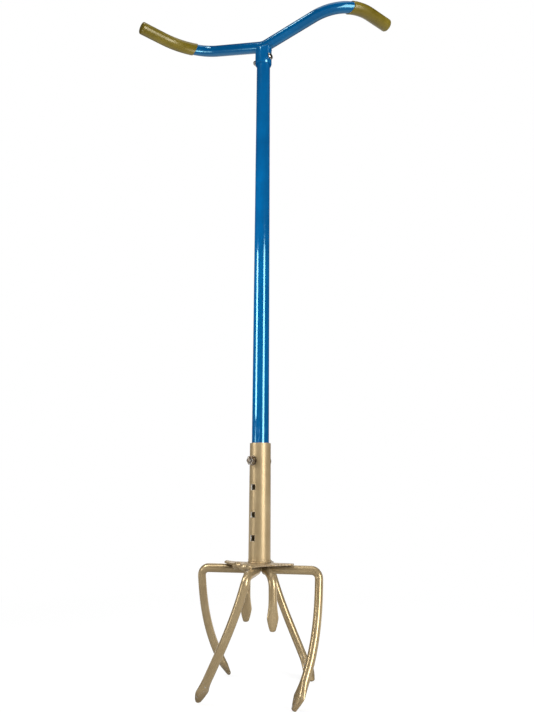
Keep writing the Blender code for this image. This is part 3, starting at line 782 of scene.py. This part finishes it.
def swept_bend(start, before, after, radius, step=2.5):
    """Points each few degrees round a bend from one heading to another, without its start."""
    angle = before.angle(after)
    side = (after - before.dot(after) * before).normalized()
    count = max(2, round(math.degrees(angle) / step))
    points = []
    for i in range(1, count + 1):
        a = angle * i / count
        points.append(start + radius * (math.sin(a) * before + (1 - math.cos(a)) * side))
    return points


arm = heading(arm_bearing, arm_rise)
hand = heading(hand_bearing, hand_rise)
half = [Vector((0, 0, bar_height))]
half += swept_bend(half[-1], heading(arm_bearing, 0), arm, middle_bend)
arm_start = half[-1]
half += [arm_start + arm * arm_length * i / 6 for i in range(1, 7)]
half += swept_bend(half[-1], arm, hand, side_bend)
hand_start = half[-1]
half += [hand_start + hand * hand_length * i / 5 for i in range(1, 6)]
far_half = [Vector((-p.x, -p.y, p.z)) for p in half]


def bar_from_line(name, line, radii, rings=15):
    """A round bar drawn along a line, made a mesh with its ends closed."""
    path = bpy.data.curves.new(name + "_path", "CURVE")
    path.dimensions = "3D"
    path.bevel_depth = 1.0
    path.bevel_resolution = rings
    path.use_fill_caps = True
    run = path.splines.new("POLY")
    run.points.add(len(line) - 1)
    for knot, spot, radius in zip(run.points, line, radii):
        knot.co = (*spot, 1)
        knot.radius = radius
    bar = bpy.data.objects.new(name, path)
    bpy.context.scene.collection.objects.link(bar)
    pick(bar)
    bpy.ops.object.convert(target="MESH")
    bar = bpy.context.object
    bar.name = bar.data.name = name
    bpy.ops.object.mode_set(mode="EDIT")
    bpy.ops.mesh.select_all(action="SELECT")
    bpy.ops.mesh.remove_doubles(threshold=0.00001)
    bpy.ops.mesh.normals_make_consistent(inside=False)
    bpy.ops.object.mode_set(mode="OBJECT")
    bpy.ops.object.shade_smooth_by_angle(angle=math.radians(40))
    bar.data.materials.clear()
    return bar


whole = far_half[:0:-1] + half
bar = bar_from_line("bent_handlebar", whole, [bar_radius] * len(whole))
# Painted shade: the bar's copy of the blue is darkened to tone 0.80, for the light it lacks from
# below.
bar.data.materials.append(blue_paint("handlebar_blue_shaded", shine=0.42, tone=0.80))
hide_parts("handlebar")
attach(bar, "tool")

# ---- Socket ----
# A short sleeve under the bar's middle, its top cut to a saddle and welded round, its foot rolled
# in on the long tube. The weld is ground and painted over, with a few lumps left.
socket_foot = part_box("handle_socket")[0][2]
socket_radius, socket_length = 0.0138, 0.036
across = math.radians(arm_bearing)
bpy.ops.object.select_all(action="DESELECT")
bpy.ops.mesh.primitive_cylinder_add(
    vertices=96, radius=socket_radius, depth=socket_length, end_fill_type="NOTHING",
    location=(0, 0, socket_foot + socket_length / 2),
)
socket = bpy.context.object
socket.name = socket.data.name = "welded_socket"
bpy.ops.object.transform_apply(location=True, rotation=True, scale=True)
cut_rings(socket, (socket_foot + 0.0022, socket_foot + 0.0048))
bpy.ops.object.mode_set(mode="EDIT")
shape = bmesh.from_edit_mesh(socket.data)
for v in shape.verts:
    if v.co.z > socket_foot + 0.02:
        facing = math.cos(math.atan2(v.co.y, v.co.x) - across) ** 2
        v.co.z = 0.9112 + 0.0058 * facing ** 0.8
    elif v.co.z < socket_foot + 0.003:
        radius = 0.0118 if v.co.z < socket_foot + 0.001 else 0.0131
        v.co.x *= radius / socket_radius
        v.co.y *= radius / socket_radius
bmesh.update_edit_mesh(socket.data)
bpy.ops.object.mode_set(mode="OBJECT")
give_wall(socket, 0.0006)
bpy.ops.object.shade_smooth_by_angle(angle=math.radians(45))
even_normals(socket)
socket_blue = blue_paint("socket_blue")
socket.data.materials.append(socket_blue)
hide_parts("handle_socket")
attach(socket, "tool")


def saddle_height(a):
    """The height of the socket's top at a bearing, lowest in front and behind."""
    return 0.9116 + 0.0060 * (math.cos(a - across) ** 2) ** 0.8


weld_ring("saddle_weld", 0.0122, 0.0017, saddle_height, 11, socket_blue)
bpy.ops.object.select_all(action="DESELECT")
lumps = []
for bearing, height, radius in (
    (-57, 0.9122, 0.0010), (45, 0.9124, 0.0009), (58, 0.9117, 0.0011), (-17, 0.8868, 0.0007),
    (35, 0.8869, 0.0006), (120, 0.9120, 0.0010), (200, 0.9085, 0.0008), (262, 0.9118, 0.0011),
):
    turn = math.radians(bearing)
    spot = (0.0137 * math.sin(turn), -0.0137 * math.cos(turn), height)
    bpy.ops.mesh.primitive_uv_sphere_add(segments=16, ring_count=8, radius=radius, location=spot)
    lumps.append(bpy.context.object)
for lump in lumps:
    lump.select_set(True)
bpy.ops.object.join()
spatter = bpy.context.object
spatter.name = spatter.data.name = "socket_spatter"
bpy.ops.object.transform_apply(location=True, rotation=True, scale=True)
bpy.ops.object.shade_smooth()
spatter.data.materials.append(socket_blue)
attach(spatter, "tool")

# ---- Grips ----
# Olive vinyl that the bar's ends were dipped in: glossy, mottled and closed over the ends, each
# with a thin lip that runs round at a slant.
grip_radius = bar_radius + 0.0013
end_thickness = 0.0033
end_round = 0.0028
lip_slant, slant_fade = 0.55, 0.024


def vinyl(name):
    """Glossy olive vinyl, mottled, with a soft sheen."""
    finish, tree, shader = new_finish(name)
    cloud = add_noise(tree, 40, 4)
    colour = add_ramp(tree, cloud, (
        (0.28, (0.118, 0.085, 0.005)), (0.52, (0.158, 0.116, 0.009)), (0.75, (0.205, 0.152, 0.016)),
    ))
    rough = add_range(tree, cloud, 0.3, 0.7, 0.27, 0.33)
    add_bump(tree, shader, add_noise(tree, 120, 1), 0.02, 0.0002)
    tree.links.new(colour, shader.inputs["Base Color"])
    tree.links.new(rough, shader.inputs["Roughness"])
    shader.inputs["Specular IOR Level"].default_value = 0.65
    shader.inputs["Specular Tint"].default_value = (1.0, 0.93, 0.70, 1.0)
    return finish


def line_past(line, distance):
    """The part of a line past a distance along it."""
    gone = 0
    for i, (a, b) in enumerate(zip(line, line[1:])):
        step = (b - a).length
        if gone + step > distance:
            return [a.lerp(b, (distance - gone) / step)] + line[i + 1:]
        gone += step
    return line[-1:]


grip_olive = vinyl("grip_olive")
for name, line, covers, node in (
    ("right_grip", half, 0.080, "grip_right"), ("left_grip", far_half, 0.099, "grip_left"),
):
    length = sum((b - a).length for a, b in zip(line, line[1:]))
    run = line_past(line, length - covers)
    inwards = (run[1] - run[0]).normalized()
    skin = [run[0], run[0] + inwards * 0.0003, run[0] + inwards * 0.0009]
    radii = [bar_radius + 0.0001, grip_radius - 0.0004, grip_radius]
    skin += run[1:-1]
    radii += [grip_radius] * (len(run) - 2)
    tip = (line[-1] - line[-2]).normalized()
    face = line[-1] + tip * end_thickness
    for k in range(9):
        a = math.radians(90 * k / 8)
        skin.append(face - tip * end_round * (1 - math.sin(a)))
        radii.append(grip_radius - end_round * (1 - math.cos(a)))
    grip = bar_from_line(name, skin, radii)
    for v in grip.data.vertices:
        near = min(range(len(run)), key=lambda i: (run[i] - v.co).length)
        forward = (run[min(near + 1, len(run) - 1)] - run[max(near - 1, 0)]).normalized()
        sideways = forward.cross(Vector((0, 0, 1))).normalized()
        fade = max(0.0, 1 - (v.co - run[0]).dot(inwards) / slant_fade)
        v.co += forward * lip_slant * fade * (v.co - run[near]).dot(sideways)
    grip.data.materials.append(grip_olive)
    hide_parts(node)
    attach(grip, "tool")

# ---- Fastenings ----
# Zinc-plated carriage bolts and hexagonal nuts, with a washer under the lower nut. The plating is
# bright with a faint yellow bloom, in dark and pale patches at random.


def zinc_plate(name):
    """Bright zinc with a fine grain of bumps, a faint bloom and dark and pale patches at random."""
    finish, tree, shader = new_finish(name)
    cloud = add_noise(tree, 300, 4)
    colour = add_ramp(tree, cloud, (
        (0.38, (0.09, 0.06, 0.04)), (0.50, (0.36, 0.31, 0.25)), (0.66, (0.66, 0.64, 0.60)),
    ))
    rough = add_range(tree, cloud, 0.3, 0.7, 0.34, 0.16)
    add_bump(tree, shader, add_noise(tree, 1400, 2), 0.2, 0.0002)
    tree.links.new(colour, shader.inputs["Base Color"])
    tree.links.new(rough, shader.inputs["Roughness"])
    shader.inputs["Metallic"].default_value = 1.0
    return finish


bright_zinc = zinc_plate("bright_zinc")
for node in ("height_bolt", "height_nut", "height_washer", "handle_bolt", "handle_nut"):
    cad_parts[node].material_slots[0].material = bright_zinc
